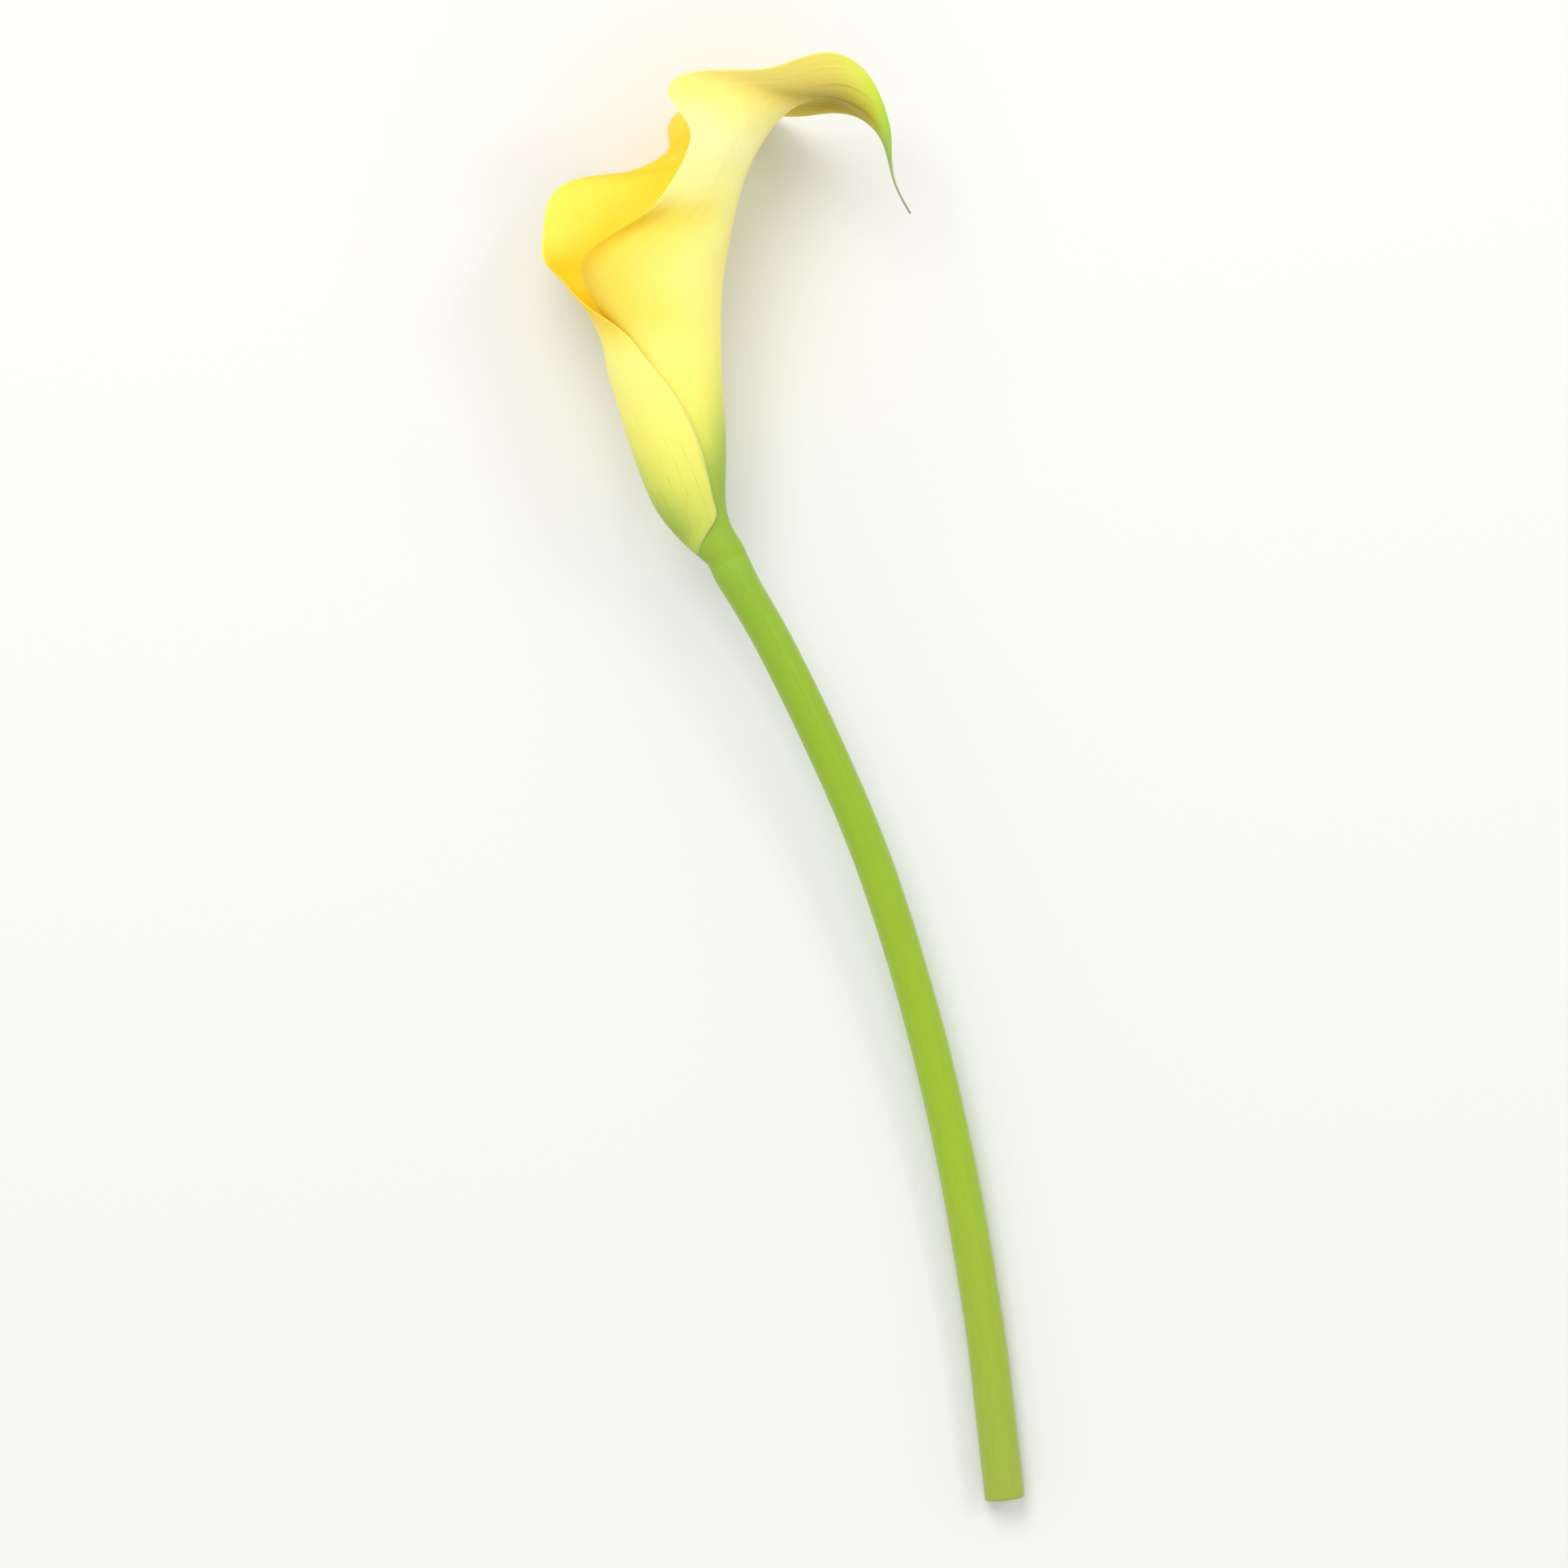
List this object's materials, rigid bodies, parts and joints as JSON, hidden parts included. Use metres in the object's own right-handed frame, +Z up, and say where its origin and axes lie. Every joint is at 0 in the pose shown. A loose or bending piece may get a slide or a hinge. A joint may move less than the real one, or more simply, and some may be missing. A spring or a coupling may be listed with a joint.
{
  "type": "arum lily flower",
  "caption": "Picked arum lily flower lying on its back: a rolled yellow spathe with a curled tail, the spadix inside its throat and a cut green stem.",
  "frame": {"origin": "middle of the bounding box, at the height of the surface it lies on", "axes": "+Y along the length from the cut stem to the bloom, +X to the side its tail curls to, +Z up from the surface"},
  "size_m": [0.0816, 0.2426, 0.04],
  "materials": {
    "stem": "satin",
    "spathe": "satin",
    "spadix": "matte"
  },
  "bodies": {
    "root": {"stem": "stem", "spathe": "spathe", "spadix": "spadix"}
  },
  "joints": []
}
